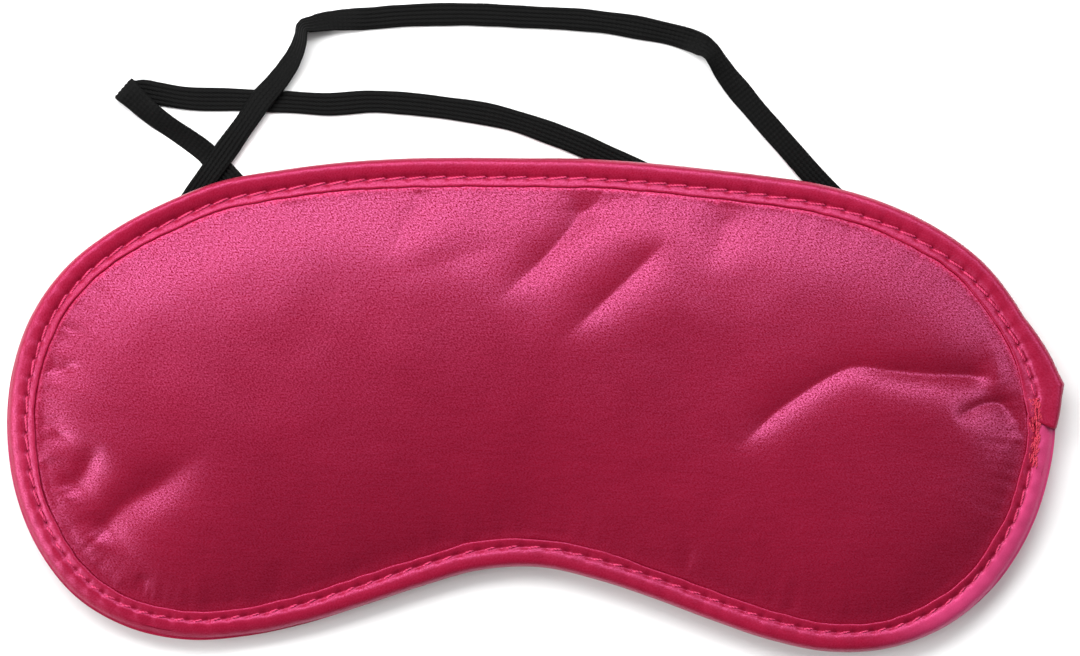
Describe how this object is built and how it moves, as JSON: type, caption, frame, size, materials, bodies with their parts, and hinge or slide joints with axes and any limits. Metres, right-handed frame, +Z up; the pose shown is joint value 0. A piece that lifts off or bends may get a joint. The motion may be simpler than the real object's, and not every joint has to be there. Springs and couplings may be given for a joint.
{
  "type": "sleep eye mask",
  "caption": "Padded satin sleep eye mask with a bound, topstitched edge, a nose notch and narrow elastic head straps looped above the brow edge.",
  "frame": {"origin": "middle of the mask's footprint on the surface it lies on, measured without the elastics", "axes": "+X to the viewer's right along the mask's length, +Y from the nose notch to the brow edge, +Z up out of the face side"},
  "size_m": [0.1951, 0.1202, 0.0106],
  "materials": {
    "panel_satin": "satin",
    "binding_satin": "satin",
    "lining_cloth": "matte",
    "wadding": "matte",
    "pink_thread": "satin",
    "tack_thread": "satin",
    "elastic": "matte"
  },
  "bodies": {
    "root": {"front_panel": "panel_satin", "padding": "wadding", "back_lining": "lining_cloth", "edge_binding": "binding_satin", "needle_thread": "pink_thread", "bobbin_thread": "pink_thread", "join_backtack": "tack_thread", "upper_strap_left_run": "elastic", "upper_strap_right_run": "elastic", "lower_strap_left_run": "elastic", "lower_strap_right_run": "elastic"},
    "upper_loop": {"upper_strap_loop": "elastic"},
    "lower_loop": {"lower_strap_loop": "elastic"}
  },
  "joints": [
    {"name": "upper_strap_flip", "type": "hinge", "parent": "root", "child": "upper_loop", "pos_m": [0, 0.047, 0.005], "axis": [1, 0, 0], "range_deg": [0, 175]},
    {"name": "lower_strap_flip", "type": "hinge", "parent": "root", "child": "lower_loop", "pos_m": [0, 0.047, 0.005], "axis": [1, 0, 0], "range_deg": [0, 175]}
  ],
  "couplings": [
    {"joint": "lower_strap_flip", "follows": "upper_strap_flip", "ratio": 1}
  ]
}
